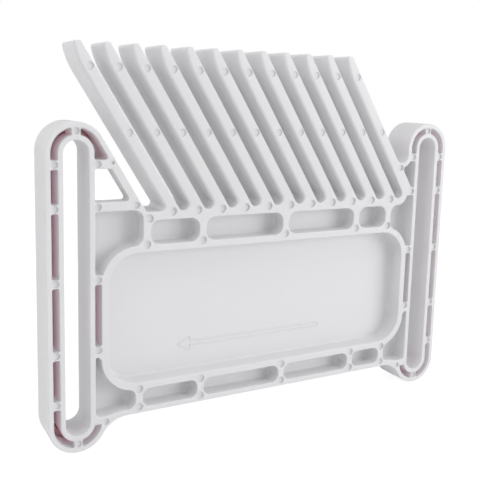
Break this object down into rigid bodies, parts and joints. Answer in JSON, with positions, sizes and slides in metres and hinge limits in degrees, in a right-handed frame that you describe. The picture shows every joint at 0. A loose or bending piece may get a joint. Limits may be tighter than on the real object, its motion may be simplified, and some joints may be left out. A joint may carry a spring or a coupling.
{
  "type": "featherboard",
  "caption": "Moulded featherboard with a row of leaning spring fingers on a ribbed plate between two lobes with through bolt slots and grip rings.",
  "frame": {"origin": "middle of the board on the plane that the two round lobe ends stand on", "axes": "+X along the board from the lobe beside the first finger to the other lobe, +Y from the ribbed top side to the underside, +Z from the lobe ends up to the fingertips"},
  "size_m": [0.2222, 0.019, 0.181],
  "materials": {
    "moulded_plastic": "semi-matt moulded",
    "grip_rubber": "matt"
  },
  "bodies": {
    "moulding": {"body": "moulded_plastic", "grip_ring_left": "grip_rubber", "grip_ring_right": "grip_rubber"},
    "finger_01": {"finger_01": "moulded_plastic"},
    "finger_02": {"finger_02": "moulded_plastic"},
    "finger_03": {"finger_03": "moulded_plastic"},
    "finger_04": {"finger_04": "moulded_plastic"},
    "finger_05": {"finger_05": "moulded_plastic"},
    "finger_06": {"finger_06": "moulded_plastic"},
    "finger_07": {"finger_07": "moulded_plastic"},
    "finger_08": {"finger_08": "moulded_plastic"},
    "finger_09": {"finger_09": "moulded_plastic"},
    "finger_10": {"finger_10": "moulded_plastic"},
    "finger_11": {"finger_11": "moulded_plastic"},
    "finger_12": {"finger_12": "moulded_plastic"}
  },
  "joints": [
    {"name": "finger_01_flex", "type": "hinge", "parent": "moulding", "child": "finger_01", "pos_m": [-0.05853, 0, 0.11663], "axis": [0, -1, 0], "range_deg": [0, 3], "stiffness_Nm_per_rad": 15},
    {"name": "finger_02_flex", "type": "hinge", "parent": "moulding", "child": "finger_02", "pos_m": [-0.04583, 0, 0.11663], "axis": [0, -1, 0], "range_deg": [0, 3], "stiffness_Nm_per_rad": 15},
    {"name": "finger_03_flex", "type": "hinge", "parent": "moulding", "child": "finger_03", "pos_m": [-0.03313, 0, 0.11663], "axis": [0, -1, 0], "range_deg": [0, 3], "stiffness_Nm_per_rad": 15},
    {"name": "finger_04_flex", "type": "hinge", "parent": "moulding", "child": "finger_04", "pos_m": [-0.02043, 0, 0.11663], "axis": [0, -1, 0], "range_deg": [0, 3], "stiffness_Nm_per_rad": 15},
    {"name": "finger_05_flex", "type": "hinge", "parent": "moulding", "child": "finger_05", "pos_m": [-0.00773, 0, 0.11663], "axis": [0, -1, 0], "range_deg": [0, 3], "stiffness_Nm_per_rad": 15},
    {"name": "finger_06_flex", "type": "hinge", "parent": "moulding", "child": "finger_06", "pos_m": [0.00497, 0, 0.11663], "axis": [0, -1, 0], "range_deg": [0, 3], "stiffness_Nm_per_rad": 15},
    {"name": "finger_07_flex", "type": "hinge", "parent": "moulding", "child": "finger_07", "pos_m": [0.01767, 0, 0.11663], "axis": [0, -1, 0], "range_deg": [0, 3], "stiffness_Nm_per_rad": 15},
    {"name": "finger_08_flex", "type": "hinge", "parent": "moulding", "child": "finger_08", "pos_m": [0.03037, 0, 0.11663], "axis": [0, -1, 0], "range_deg": [0, 3], "stiffness_Nm_per_rad": 15},
    {"name": "finger_09_flex", "type": "hinge", "parent": "moulding", "child": "finger_09", "pos_m": [0.04307, 0, 0.11663], "axis": [0, -1, 0], "range_deg": [0, 3], "stiffness_Nm_per_rad": 15},
    {"name": "finger_10_flex", "type": "hinge", "parent": "moulding", "child": "finger_10", "pos_m": [0.05577, 0, 0.11663], "axis": [0, -1, 0], "range_deg": [0, 3], "stiffness_Nm_per_rad": 15},
    {"name": "finger_11_flex", "type": "hinge", "parent": "moulding", "child": "finger_11", "pos_m": [0.06847, 0, 0.11663], "axis": [0, -1, 0], "range_deg": [0, 3], "stiffness_Nm_per_rad": 15},
    {"name": "finger_12_flex", "type": "hinge", "parent": "moulding", "child": "finger_12", "pos_m": [0.07267, 0, 0.13023], "axis": [0, -1, 0], "range_deg": [0, 3], "stiffness_Nm_per_rad": 20}
  ]
}
